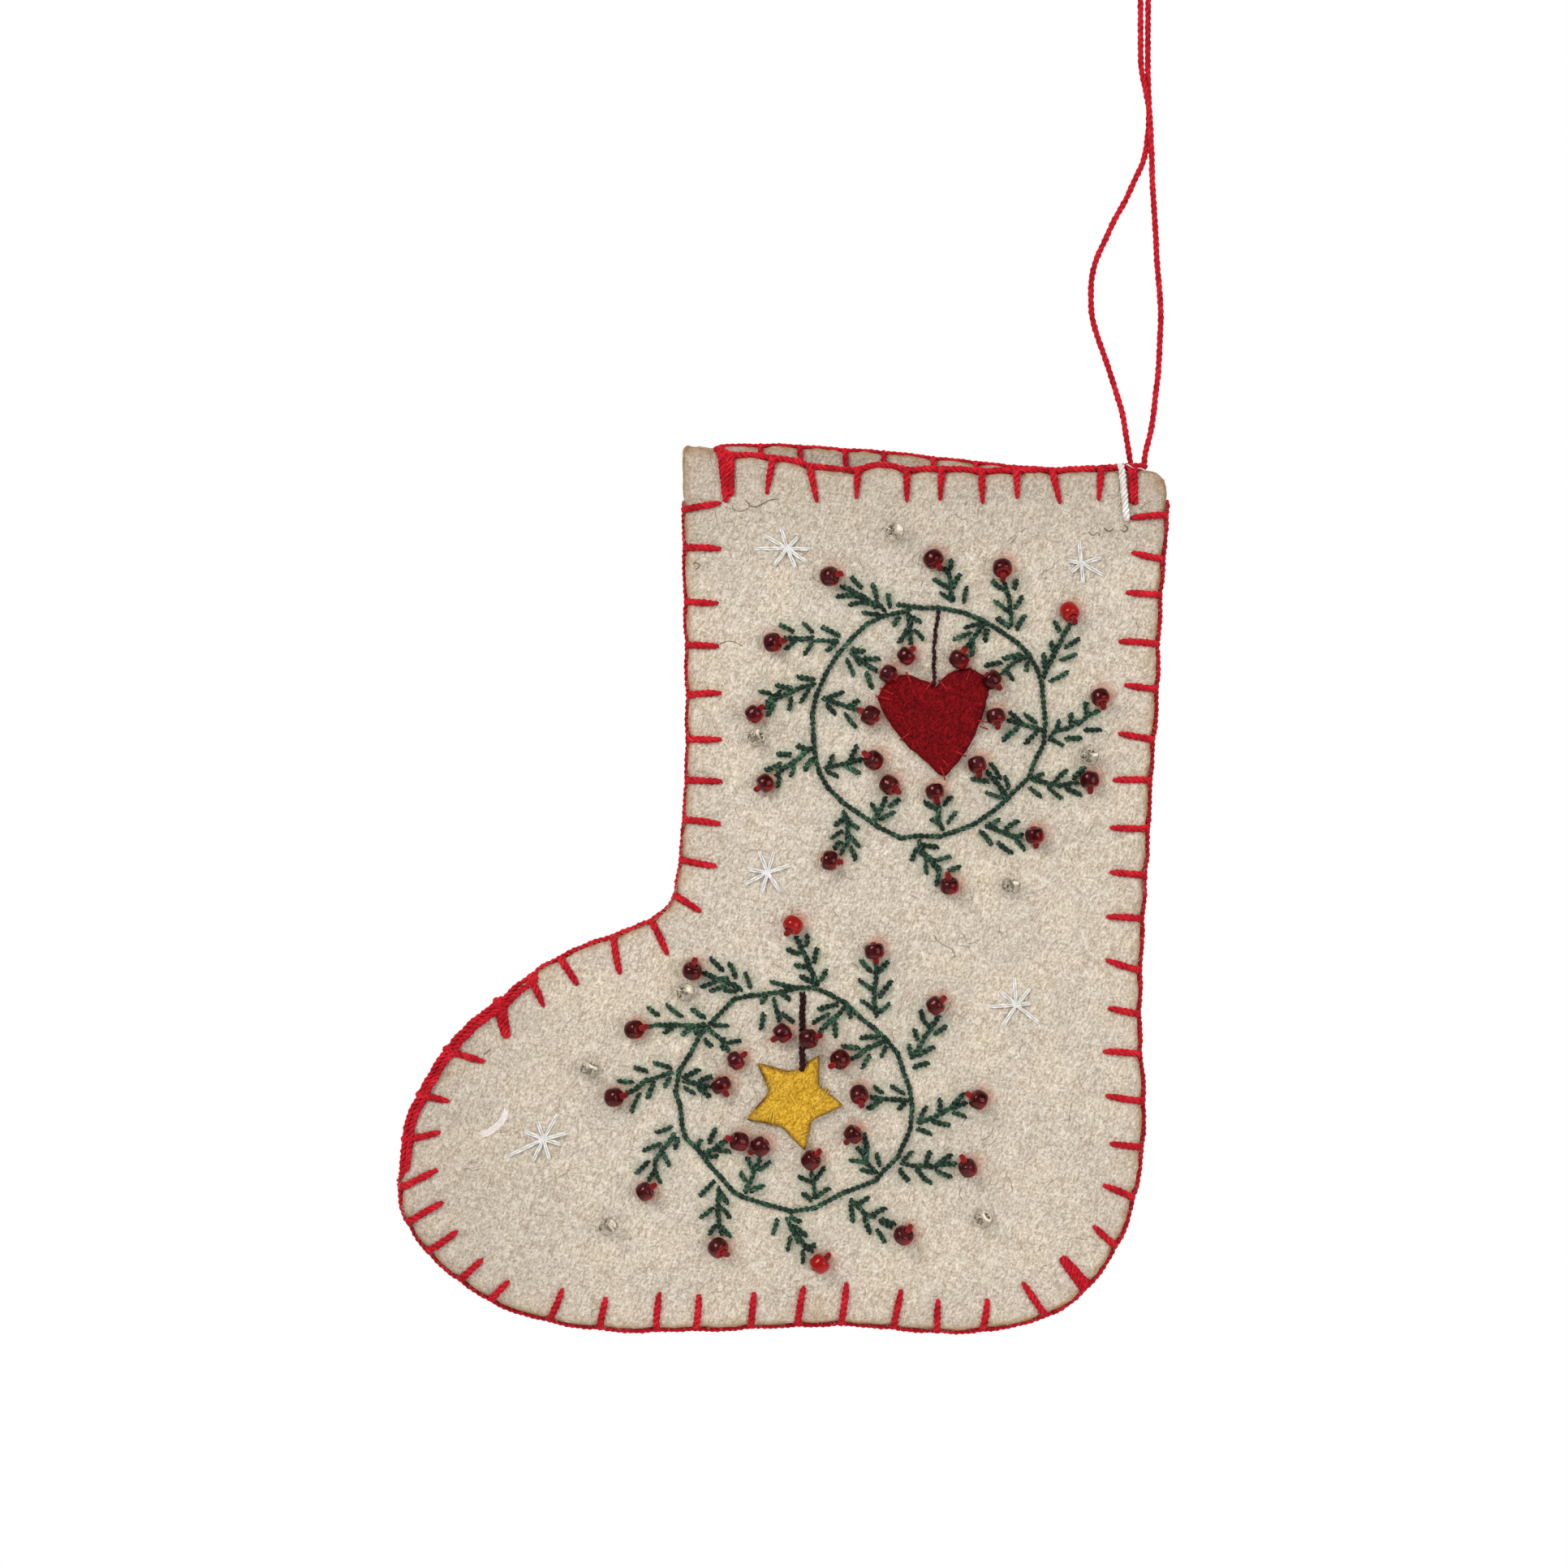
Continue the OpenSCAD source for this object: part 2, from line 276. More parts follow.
lower_outer = [
[[-15.48, 18.72], [-15.12, 20.28], [
  [-13.68, 18.36, -12.48, 17.76], [-12.72, 17.88, -10.68, 17.4], [-11.04, 17.64, -8.88, 16.44],
  [-9.36, 16.68, -8.16, 15.96], [-14.16, 16.32, -11.76, 17.28], [-12.24, 17.28, -10.32, 17.64],
  [-12.84, 20.52, -11.04, 18.72], [-9.96, 19.8, -9.12, 17.76], [-7.68, 18.48, -6.96, 16.2],
  [-12.84, 15.72, -10.08, 16.68], [-10.68, 15.84, -8.88, 15.72]]],
[[-0.6, 25.56], [-1.44, 24.36], [
  [-0.12, 23.76, 0.6, 22.08], [0.36, 22.44, 1.56, 20.28], [1.44, 20.52, 2.4, 18.12],
  [2.28, 18.36, 3, 16.68], [1.56, 24, 1.32, 22.32], [3, 22.08, 2.52, 19.92],
  [4.32, 18.84, 3.48, 17.28], [-1.32, 21.96, 0.36, 21.24], [-0.24, 19.56, 1.8, 19.2],
  [0.6, 18, 2.52, 17.04]]],
[[11.4, 21.72], [11.64, 20.16], [
  [11.64, 19.8, 11.64, 18.48], [11.64, 18.72, 11.52, 16.8], [11.52, 17.04, 11.4, 14.4],
  [11.4, 14.64, 11.76, 12], [9.48, 20.28, 10.8, 18.72], [9.12, 17.4, 11.04, 15.96],
  [9.48, 14.4, 11.28, 12.96], [13.44, 20.04, 12.12, 18.6], [13.92, 17.16, 12.12, 14.88],
  [13.68, 13.92, 12.24, 12.72]]],
[[20.4, 13.68], [21.6, 14.64], [
  [21, 12, 20.04, 10.68], [20.16, 11.04, 18.96, 9.12], [19.08, 9.48, 18, 7.44],
  [18.24, 7.8, 16.92, 5.88], [18.24, 12.84, 18.6, 11.88], [18.36, 12, 19.44, 10.56],
  [17.4, 10.08, 17.76, 8.52], [16.56, 7.8, 16.92, 6.12], [21.96, 10.44, 20.4, 9.48],
  [20.28, 7.56, 17.76, 6.24], [19.32, 5.04, 17.28, 4.56]]],
[[26.76, -0.24], [25.44, 0.48], [
  [24.96, -0.84, 23.28, -1.44], [23.52, -1.2, 21.36, -2.28], [21.6, -2.16, 19.68, -3.12],
  [19.92, -3, 17.88, -3.6], [24.6, 0.72, 22.8, -1.2], [21.12, -0.24, 21, -2.04],
  [19.2, -1.2, 18, -3.36], [24.84, -2.88, 23.04, -2.16], [22.56, -4.08, 20.04, -3.48],
  [19.8, -5.4, 17.76, -4.56]]],
[[25.2, -10.32], [24.6, -9.12], [
  [23.4, -9.84, 21.6, -9.84], [21.84, -9.72, 19.68, -10.32], [19.92, -10.2, 17.52, -10.08],
  [17.76, -10.2, 15.36, -9.6], [22.8, -8.52, 20.64, -9.84], [19.68, -8.04, 18.96, -9.84],
  [17.04, -7.92, 15.6, -9.36], [22.68, -11.76, 20.52, -10.8], [19.8, -12.6, 18.72, -11.88],
  [19.08, -12.24, 17.76, -10.56], [16.44, -12.24, 15.12, -10.56]]],
[[15.72, -20.28], [16.8, -18.96], [
  [14.04, -19.2, 12.24, -18.24], [14.4, -18.72, 12.48, -18], [11.64, -17.64, 9.6, -16.92],
  [10.08, -17.28, 8.88, -15.84], [9.12, -16.08, 7.92, -15.12], [13.2, -16.32, 11.04, -17.28],
  [10.56, -14.76, 8.88, -15.6], [12.96, -21.48, 11.76, -19.44], [10.8, -20.04, 9.96, -17.52],
  [8.16, -18.36, 7.92, -15.84]]],
[[3.36, -24.48], [4.44, -23.52], [
  [2.28, -22.68, 0.96, -21.6], [1.2, -22.08, 0, -20.16], [0.24, -21.36, -0.84, -19.2],
  [-0.6, -19.68, -1.44, -17.76], [2.64, -21.84, 1.2, -22.2], [1.32, -20.4, -0.48, -18.96],
  [0.48, -18.36, -0.96, -17.52], [0.84, -24.48, 0.84, -22.56], [-1.44, -22.56, -0.96, -20.64],
  [-3.6, -20.28, -2.88, -17.88]]],
[[-11.64, -22.08], [-10.32, -23.16], [
  [-11.16, -20.16, -11.52, -18.6], [-11.52, -18.96, -11.76, -16.56],
  [-11.76, -17.04, -11.64, -14.88], [-11.64, -15.36, -11.52, -13.2],
  [-12.96, -20.28, -12, -18.84], [-14.28, -17.64, -12.36, -16.2],
  [-14.4, -14.52, -12.12, -12.24], [-9.84, -20.52, -11.04, -19.08],
  [-9.96, -17.76, -11.04, -16.2], [-10.2, -15.6, -11.04, -14.04]]],
[[-22.44, -13.8], [-21.12, -12.96], [
  [-21.96, -12.12, -21.12, -10.8], [-21.12, -11.28, -20.88, -9.12],
  [-21, -9.36, -19.56, -7.32], [-19.68, -7.44, -18, -5.4], [-23.76, -11.16, -21.96, -9.48],
  [-22.68, -7.8, -20.16, -6.84], [-20.88, -5.16, -18.48, -4.32],
  [-20.16, -12.6, -20.76, -11.04], [-18.84, -10.08, -19.8, -8.16],
  [-18, -7.44, -17.52, -6.12]]],
[[-27, 0.12], [-25.56, 0.36], [
  [-25.2, 0.72, -23.52, 1.44], [-23.76, 1.32, -22.08, 2.64], [-22.2, 2.52, -20.04, 3.12],
  [-20.28, 3.12, -18.36, 3.72], [-26.4, 2.52, -24.24, 2.28], [-24, 4.44, -22.08, 3.84],
  [-21.12, 5.16, -18.48, 4.32], [-24.48, -2.16, -23.16, 0.72], [-22.08, 0, -21.12, 2.16],
  [-19.56, 1.68, -18.72, 2.88]]],
[[-24, 10.08], [-22.44, 10.44], [
  [-22.08, 10.32, -20.4, 10.8], [-20.52, 10.8, -17.76, 10.8], [-18, 10.68, -15.6, 10.68],
  [-15.84, 10.68, -13.68, 10.8], [-21.96, 13.32, -20.52, 12.12], [-19.32, 13.8, -16.92, 11.88],
  [-15.48, 13.08, -13.68, 11.76], [-19.68, 9.48, -18, 10.56], [-16.92, 9.36, -15.12, 10.56],
  [-15.12, 9.48, -13.92, 10.2]]]
];
lower_inner = [
[[-2.16, 9.6], [-3, 9], [
  [-2.64, 11.4, -3, 12.96], [-3, 12.72, -3.36, 14.64], [-5.28, 10.2, -4.92, 12.36],
  [-5.28, 14.04, -4.44, 14.88], [-0.48, 11.16, -2.16, 12.48], [-1.2, 14.52, -2.4, 15.48]]],
[[1.68, 8.76], [3, 9.12], [
  [3.36, 9.84, 4.56, 10.92], [4.32, 10.8, 5.76, 12], [5.52, 11.76, 7.08, 13.44],
  [2.28, 11.04, 4.8, 12.36], [3.12, 13.08, 6, 13.8], [5.64, 9.12, 5.52, 11.52],
  [7.92, 11.76, 7.44, 13.32]]],
[[6.36, 5.76], [5.4, 5.04], [
  [8.04, 5.76, 9.36, 6.36], [8.88, 6, 10.8, 7.56], [10.56, 7.32, 12.48, 8.4],
  [11.52, 7.68, 13.44, 8.52], [6.72, 7.68, 9.12, 7.32], [9.36, 8.88, 12, 9],
  [9.6, 4.32, 10.8, 6.24], [12.36, 6.12, 13.2, 7.56]]],
[[9.12, 0.6], [9.48, -0.84], [
  [10.92, 0.12, 12.24, -0.12], [12, -0.12, 14.64, -0.24], [14.4, -0.24, 16.2, -0.48],
  [11.4, 1.68, 12.6, 0.72], [13.92, 1.8, 15.84, 0.6], [10.56, -1.56, 12.24, -0.48],
  [15, -1.56, 15.96, -0.72]]],
[[8.28, -5.28], [7.32, -6.48], [
  [9.96, -5.28, 10.32, -7.2], [10.32, -6.96, 10.08, -9.36], [9.6, -8.16, 10.32, -9.84],
  [10.32, -9.6, 11.76, -11.16], [8.88, -7.32, 9.72, -8.28], [7.8, -9.24, 10.08, -9.6],
  [9.48, -10.56, 11.16, -11.04], [11.76, -8.16, 12.24, -10.08]]],
[[2.04, -9.12], [3.12, -8.04], [
  [2.16, -11.04, 2.4, -12.72], [2.4, -12.48, 2.52, -14.88], [0.36, -11.64, 1.92, -12.36],
  [4.08, -10.32, 2.64, -12.24], [4.8, -13.32, 2.88, -14.64], [0.96, -14.16, 2.04, -15.12]]],
[[-5.4, -7.08], [-6.48, -7.8], [
  [-5.4, -9, -6.24, -10.56], [-6.24, -10.32, -6.96, -12.48], [-6.84, -12.24, -7.68, -13.92],
  [-3.84, -9.36, -5.76, -10.8], [-4.92, -12.96, -6.84, -13.8], [-7.32, -8.88, -6.6, -10.56],
  [-8.28, -10.92, -7.68, -12.24]]],
[[-8.52, -6.36], [-9.84, -6], [
  [-10.44, -6.24, -12, -7.2], [-11.76, -7.44, -13.92, -8.16], [-11.76, -8.64, -13.92, -8.64],
  [-9.84, -7.92, -11.76, -7.68], [-12, -4.68, -12.96, -6.6], [-14.16, -6.24, -14.52, -7.08]]],
[[-11.16, 1.92], [-10.44, 0.6], [
  [-12.84, 1.68, -14.4, 1.92], [-14.16, 1.92, -16.8, 2.52], [-12.6, 3.12, -14.4, 2.52],
  [-14.4, 4.08, -16.8, 3], [-12.96, 0.12, -14.64, 1.44], [-15.12, 0.6, -16.68, 1.56]]],
[[-9, 5.52], [-7.68, 6.48], [
  [-10.2, 6.96, -10.8, 8.16], [-10.56, 7.92, -11.76, 9.12], [-11.52, 8.88, -12.96, 10.08],
  [-11.04, 7.2, -10.8, 8.64], [-8.28, 8.4, -10.08, 8.16], [-10.2, 10.56, -12.24, 10.68],
  [-12.6, 7.56, -13.56, 8.52]]]
];
// Clear beads: [x, z, direction of the bore in degrees from +X towards +Z].
upper_clear = [[-5.76, 27.36, 150], [-26.16, -2.88, 20], [23.04, -5.64, 75], [11.4, -24.72, 80]];
lower_clear = [[-30.6, 4.2, 60], [-27.84, -18.96, 130], [27.48, -17.88, 40], [-16.44, 15.6, 160]];
// Snow stars: [centre, ends of the arms].
upper_snow = [
  [[-21.6, 25.08], [[-26.64, 25.08], [-24.96, 27], [-22.56, 28.2], [-19.92, 26.88],
    [-18, 24.96], [-18.6, 22.92], [-20.28, 21.96], [-23.64, 22.44]]],
  [[21.84, 22.92], [[21.48, 26.52], [24.96, 23.76], [25.44, 21], [22.2, 19.68],
    [20.28, 21.48], [19.8, 23.28]]],
  [[-24.48, -22.8], [[-23.52, -19.56], [-25.8, -19.56], [-27.6, -22.32], [-28.08, -24.6],
    [-25.44, -26.04], [-22.44, -25.92], [-21, -21.6]]]
];
lower_snow = [
  [[32.4, 13.68], [[32.04, 18], [30, 15.72], [28.32, 13.44], [30.12, 10.32],
    [35.88, 10.92], [34.8, 14.04], [34.56, 16.32]]],
  [[-37.44, -6.12], [[-35.28, -2.28], [-38.4, -3.36], [-40.44, -4.92], [-42.96, -8.76],
    [-39.12, -9.6], [-36.48, -9.36], [-34.68, -6.96], [-33.84, -5.16]]]
];
crescent = [[-46.92, -5.52], [-45, -4.8], [-43.56, -3.36], [-42.72, -1.68]];

heart = [
  [0.36, 4.8], [-0.36, 5.28], [-2.16, 5.88], [-4.08, 6.48], [-5.64, 6.12], [-7.08, 5.16],
  [-8.04, 3.6], [-7.92, 2.04], [-7.08, 0.12], [-5.88, -1.8], [-3.72, -4.32], [-1.2, -6.48],
  [1.44, -8.52], [3.12, -6.96], [4.56, -5.28], [6, -2.4], [7.2, 0.48], [7.92, 2.88],
  [8.16, 4.68], [7.32, 6.24], [5.52, 7.2], [3.12, 6.96], [1.32, 6]
];
star = [
  [-6, 5.28], [-0.72, 3.84], [3.36, 6.48], [3.24, 1.92], [6.96, -1.08], [2.16, -3.36],
  [1.2, -7.92], [-2.4, -4.08], [-7.68, -3.24], [-4.08, 0.96]
];
// Tacks: [outer end, inner end].
heart_tack_ends = [
  [[8.52, -1.56], [6.84, -1.08]], [[1.56, -9], [1.2, -7.2]],
  [[-8.4, 3], [-6.72, 2.28]], [[0.36, 5.28], [0.48, 3.84]]
];
star_tack_ends = [
  [[-6.36, 5.52], [-4.56, 4.08]], [[3.72, 6.6], [2.64, 5.04]], [[7.08, -1.56], [5.28, -0.84]],
  [[0.84, -7.08], [0.72, -5.4]], [[-8.04, -3.36], [-6.24, -2.52]]
];
heart_hanger = [[0.72, 15.96], [0, 12.84], [0.12, 9.48], [0, 5.88]];
star_hanger = [[0.72, 15.6], [0.12, 12.24], [-0.48, 7.8], [-0.24, 4.8]];
upper_knots = [[-3.6, 13.8], [14.4, 8.76], [4.32, -13.8], [-14.4, -9], [-16.8, 4.2]];
lower_knots = [[-2.64, 14.4], [14.16, 6.24], [8.16, -10.56], [-12.24, -8.16], [-14.64, 6.24]];

// ---- Hanging loop, points [x, z] in the main frame ----
pivot = [-1.08, -79.56];      // the stocking swings here
bend_z = -4.4;                // the stem flexes under the eye here
strand_x = 0.55;              // half the spacing of the strands there
crossing_z = -29.76;          // the strands cross here
crossing_spread = 3.6;        // height over which they part in y
anchor_knot = [-4.08, -85.92];
stem_left = [
  [-0.552, -4.92], [-0.552, -6], [-0.48, -9.6], [-0.6, -13.2], [-0.84, -18], [-0.84, -21.6],
  [-0.48, -25.8], [0.36, -30], [1.02, -33.84], [1.08, -35.4]
];
stem_right = [
  [0.552, -4.92], [0.552, -6], [0.6, -9.6], [0.72, -13.2], [0.96, -18], [0.96, -21.6],
  [0.84, -25.8], [0.36, -30], [-0.06, -33.84], [-0.12, -35.4]
];
leg_left = [
  [-0.12, -35.64], [-0.24, -36.6], [-1.08, -38.28], [-2.76, -40.92], [-4.8, -45],
  [-6.6, -49.2], [-7.8, -52.8], [-8.04, -56.4], [-7.68, -60.6], [-6.6, -64.8], [-5.16, -69],
  [-3.84, -73.2], [-2.52, -76.56], [-1.656, -78.12], [-1.596, -78.888]
];
leg_right = [
  [1.08, -35.64], [1.14, -36.6], [1.32, -40.2], [1.68, -44.4], [1.92, -49.2], [2.28, -54],
  [2.64, -57.84], [2.4, -61.2], [1.92, -67.2], [1.2, -73.2], [0.36, -76.56], [-0.48, -78.12],
  [-0.564, -78.888]
];
root_left = [[-1.596, -80.46], [-1.92, -81.6], [-2.64, -83.4], [-3.72, -85.2]];
root_right = [[-0.564, -80.46], [-0.36, -81.6], [-1.08, -83.76], [-3.24, -85.56]];

// ---- Curve and panel functions ----
function unit(v) = v / max(norm(v), 1e-9);
function clamp(x, low, high) = max(low, min(high, x));
function mix(from, to, f) = from * (1 - f) + to * f;
function spline(a, b, c, d, f) =
  0.5 * (2 * b + (c - a) * f + (2 * a - 5 * b + 4 * c - d) * f * f
    + (3 * b - a - 3 * c + d) * f * f * f);
// Smooth value at fractional index pos of a list.
function list_at(list, pos) =
  let (last = len(list) - 1, q = clamp(pos, 0, last), i = min(floor(q), last - 1))
  spline(list[max(i - 1, 0)], list[i], list[i + 1], list[min(i + 2, last)], q - i);
// Finished outline on each side of a rib, then the felt edge inside it.
// side 0 is the front of the leg, 1 the back.
function outline(rib, side) =
  let (r = list_at(ribs, rib)) side == 0 ? [r[0], r[1]] : [r[2], r[3]];
function outward(rib, side) =
  let (
    before = outline(max(rib - 0.05, 0), side), after = outline(min(rib + 0.05, last_rib), side),
    along = unit(after - before)
  ) side == 0 ? [along[1], -along[0]] : [-along[1], along[0]];
function felt_edge(rib, side) = outline(rib, side) - edge_inset * outward(rib, side);
// Negative where point lies past the rib, towards the toe.
function rib_side(rib, point) =
  let (left = felt_edge(rib, 0), d = felt_edge(rib, 1) - left, q = point - left)
  d[0] * q[1] - d[1] * q[0];
// Rib through a pattern point, found by halving, and the share of the width across that rib.
function find_rib(point, low = 0, high = last_rib, steps = 13) =
  let (mid = (low + high) / 2)
  steps == 0 ? mid
  : rib_side(mid, point) < 0 ? find_rib(point, mid, high, steps - 1)
  : find_rib(point, low, mid, steps - 1);
function share(rib, point) =
  let (left = felt_edge(rib, 0), d = felt_edge(rib, 1) - left)
  clamp((point - left) * d / (d * d), 0, 1);
// Outward bow of a panel at a rib and share: peak, then profile.
function bow_peak(rib) = lookup(rib, [
  [0, mouth_bow], [5, leg_bow], [12, foot_bow], [17, foot_bow * 0.8], [20, foot_bow * 0.35],
  [22, foot_bow * 0.1]
]);
function bow(rib, part) = bow_peak(rib) * pow(max(4 * part * (1 - part), 0), 1.15);
// Depths of a panel's faces over a pattern point, as distances from the parting plane.
function inner_depth(point) = let (rib = find_rib(point)) seam_gap + bow(rib, share(rib, point));
function outer_depth(point) = inner_depth(point) + felt_t;
// Height added to the mouth edge of a panel (side -1 front, +1 back) at a share.
function rim(side, part) =
  (side < 0 ? -front_dip : back_rise) * sin(180 * clamp(part / 0.8, 0, 1));
function sheet_point(rib, part, side, depth) =
  let (
    p = mix(felt_edge(rib, 0), felt_edge(rib, 1), part),
    lift = rib < 1 ? (1 - rib) * rim(side, part) : 0
  ) [p[0], side * (seam_gap + bow(rib, part) + depth), p[1] + lift];
// Share across the mouth at x.
function mouth_share(x) =
  let (left = felt_edge(0, 0)[0], right = felt_edge(0, 1)[0]) (x - left) / (right - left);
// Low and high y of a panel whose inner face lies at depth.
function faces_y(side, depth) =
  side < 0 ? [-(depth + felt_t), -depth] : [depth, depth + felt_t];
// A point in front of the front felt by height, and one behind its inner face by depth.
function on_front(point, height) = [point[0], -(outer_depth(point) + height), point[1]];
function inside_front(point, depth) = [point[0], -(inner_depth(point) - depth), point[1]];

// ---- Building blocks ----
// Bowed felt sheet over ribs rows and shares cols, less a window in its first rows.
module sheet(rows, cols, side, window_rows = 0, window_from = 0, window_to = 0) {
  nr = len(rows);
  nc = len(cols);
  points = [
    for (depth = [0, felt_t]) for (rib = rows) for (part = cols)
      sheet_point(rib, part, side, depth)
  ];
  function id(k, i, j) = k * nr * nc + i * nc + j;
  function kept(i, j) = i >= 0 && j >= 0 && i < nr - 1 && j < nc - 1
    && !(i < window_rows && j >= window_from && j < window_to);
  function quad(a, b, c, d) = side < 0 ? [[a, b, c], [a, c, d]] : [[c, b, a], [d, c, a]];
  // Outer face, inner face, then an edge wall wherever the neighbouring cell is missing.
  faces = [
    for (i = [0:nr - 2]) for (j = [0:nc - 2]) if (kept(i, j))
      let (
        a = id(0, i, j), b = id(0, i, j + 1), c = id(0, i + 1, j + 1), d = id(0, i + 1, j),
        e = id(1, i, j), f = id(1, i, j + 1), g = id(1, i + 1, j + 1), h = id(1, i + 1, j)
      )
      each concat(
        quad(e, f, g, h),
        quad(d, c, b, a),
        kept(i - 1, j) ? [] : quad(a, b, f, e),
        kept(i + 1, j) ? [] : quad(h, g, c, d),
        kept(i, j - 1) ? [] : quad(d, a, e, h),
        kept(i, j + 1) ? [] : quad(b, c, g, f)
      )
  ];
  polyhedron(points = points, faces = faces, convexity = 6);
}

// Round yarn swept along a list of [x, y, z] points that never runs along Y.
module sweep(path, radius, sides = 8) {
  m = len(path);
  points = [
    for (i = [0:m - 1])
      let (
        tangent = unit(path[min(i + 1, m - 1)] - path[max(i - 1, 0)]),
        a = unit(cross(tangent, [0, 1, 0])), b = cross(tangent, a)
      )
      for (k = [0:sides - 1])
        path[i] + radius * (cos(360 * k / sides) * a + sin(360 * k / sides) * b)
  ];
  faces = concat(
    [[for (k = [0:sides - 1]) k]],
    [for (i = [0:m - 2]) for (k = [0:sides - 1])
      let (p = i * sides + k, q = i * sides + (k + 1) % sides)
      each [[q + sides, q, p], [p + sides, q + sides, p]]],
    [[for (k = [sides - 1:-1:0]) (m - 1) * sides + k]]
  );
  polyhedron(points = points, faces = faces, convexity = 8);
}

// Straight stitch between two points, drawn short of both ends by trim.
module bar(from, to, radius, trim = 0) {
  dir = unit(to - from);
  translate(from + dir * trim) rotate([0, acos(dir[2]), atan2(dir[1], dir[0])])
    cylinder(h = norm(to - from) - 2 * trim, r = radius, $fn = 16);
}

// Yarn wrapped round a felt edge, from the finished edge to the needle hole, both [x, z].
// edge_y and hole_y are the felt faces there. The wrap is open for the edge yarn at yarn_y.
module wrap(edge, hole, edge_y, hole_y, yarn_y, width) {
  yarn_t = yarn_d * 0.78;
  opening = yarn_d / 2 + 0.05;
  dir = unit(hole - edge);
  reach = norm(hole - edge);
  felt_x = edge_inset - yarn_gap;
  multmatrix([[dir[0], 0, -dir[1], edge[0]], [0, 1, 0, 0], [dir[1], 0, dir[0], edge[1]],
    [0, 0, 0, 1]])
    linear_extrude(height = width, center = true)
      polygon([
        [0, yarn_y - opening], [0, edge_y[0] - yarn_gap - yarn_t * 0.6],
        [edge_inset, edge_y[0] - yarn_gap - yarn_t],
        [reach + yarn_t / 2, hole_y[0] - yarn_gap - yarn_t],
        [reach + yarn_t / 2, hole_y[1] + yarn_gap + yarn_t],
        [edge_inset, edge_y[1] + yarn_gap + yarn_t],
        [0, edge_y[1] + yarn_gap + yarn_t * 0.6], [0, yarn_y + opening],
        [felt_x, yarn_y + opening], [felt_x, edge_y[1] + yarn_gap],
        [reach - yarn_t / 2, hole_y[1] + yarn_gap], [reach - yarn_t / 2, hole_y[0] - yarn_gap],
        [felt_x, edge_y[0] - yarn_gap], [felt_x, yarn_y - opening]
      ]);
}

module seam_stitch(stitch, width = yarn_d) {
  hole = [stitch[2], stitch[3]];
  edge_depth = seam_gap + felt_t;
  hole_depth = outer_depth(hole);
  wrap([stitch[0], stitch[1]], hole, [-edge_depth, edge_depth], [-hole_depth, hole_depth],
    0, width);
}

// Stitch over the mouth edge of one panel. side -1 front, +1 back.
module hem_stitch(stitch, side, width = yarn_d) {
  part = mouth_share(stitch[0]);
  top = sheet_point(0, part, side, 0);
  edge = [top[0], top[2] + edge_inset];
  hole = edge + [stitch[1], -stitch[2]];
  edge_y = faces_y(side, seam_gap + bow(0, part));
  wrap(edge, hole, edge_y, faces_y(side, inner_depth(hole)), (edge_y[0] + edge_y[1]) / 2, width);
}

// Edge yarn along the seam between two ribs on one side, in n steps.
function edge_path(from, to, side, n) = [
  for (k = [0:n])
    let (
      rib = from + (to - from) * k / n,
      p = felt_edge(rib, side) + (yarn_d / 2 + yarn_gap) * outward(rib, side)
    ) [p[0], 0, p[1]]
];
// Edge yarn along the mouth of one panel between two x positions.
function mouth_path(ends, side, n = 24) = [
  for (k = [0:n])
    let (
      x = ends[0] + (ends[1] - ends[0]) * k / n,
      p = sheet_point(0, mouth_share(x), side, felt_t / 2)
    ) [x, p[1], p[2] + yarn_d / 2 + yarn_gap]
];

// Row of straight stitches on the front, through points measured from centre.
module chain(points, centre, radius, gap, trim) for (i = [0:len(points) - 2])
  bar(on_front(centre + points[i], radius + gap), on_front(centre + points[i + 1], radius + gap),
    radius, trim);

module ring(points, centre) chain(points, centre, floss_d / 2, stitch_gap, ring_trim);
module hanger(points, centre) chain(points, centre, floss_d / 2, hanger_gap, chain_trim);

module sprigs(list, centre) for (sprig = list) for (stitch = sprig[2]) {
  height = floss_d / 2 + stitch_gap;
  sweep([
    on_front(centre + [stitch[0], stitch[1]], height),
    on_front(centre + [stitch[2], stitch[3]], height)
  ], floss_d / 2, 5);
}

// Depth of the middle of a bead that rests on the front.
function bead_depth(point) = outer_depth(point) + bead_d / 2 + bead_gap;
// Glass seed bead with its bore along the direction aim.
module bead(point, aim) {
  dir = unit(aim);
  radius = bead_d / 2;
  half = bead_l / 2;
  bore = bead_bore / 2;
  translate([point[0], -bead_depth(point), point[1]])
    multmatrix([[0, dir[1], dir[0], 0], [1, 0, 0, 0], [0, -dir[0], dir[1], 0], [0, 0, 0, 1]])
      rotate_extrude() polygon([
        [bore, -half * 0.82], [bore + 0.16, -half], [radius * 0.72, -half],
        [radius * 0.93, -half * 0.72], [radius, -half * 0.32], [radius, half * 0.32],
        [radius * 0.93, half * 0.72], [radius * 0.72, half], [bore + 0.16, half],
        [bore, half * 0.82]
      ]);
}
// Room that a bead presses into the edge of a soft felt cut-out.
module bead_dent(point)
  translate([point[0], -bead_depth(point), point[1]]) sphere(r = bead_d / 2 + 0.2, $fn = 36);
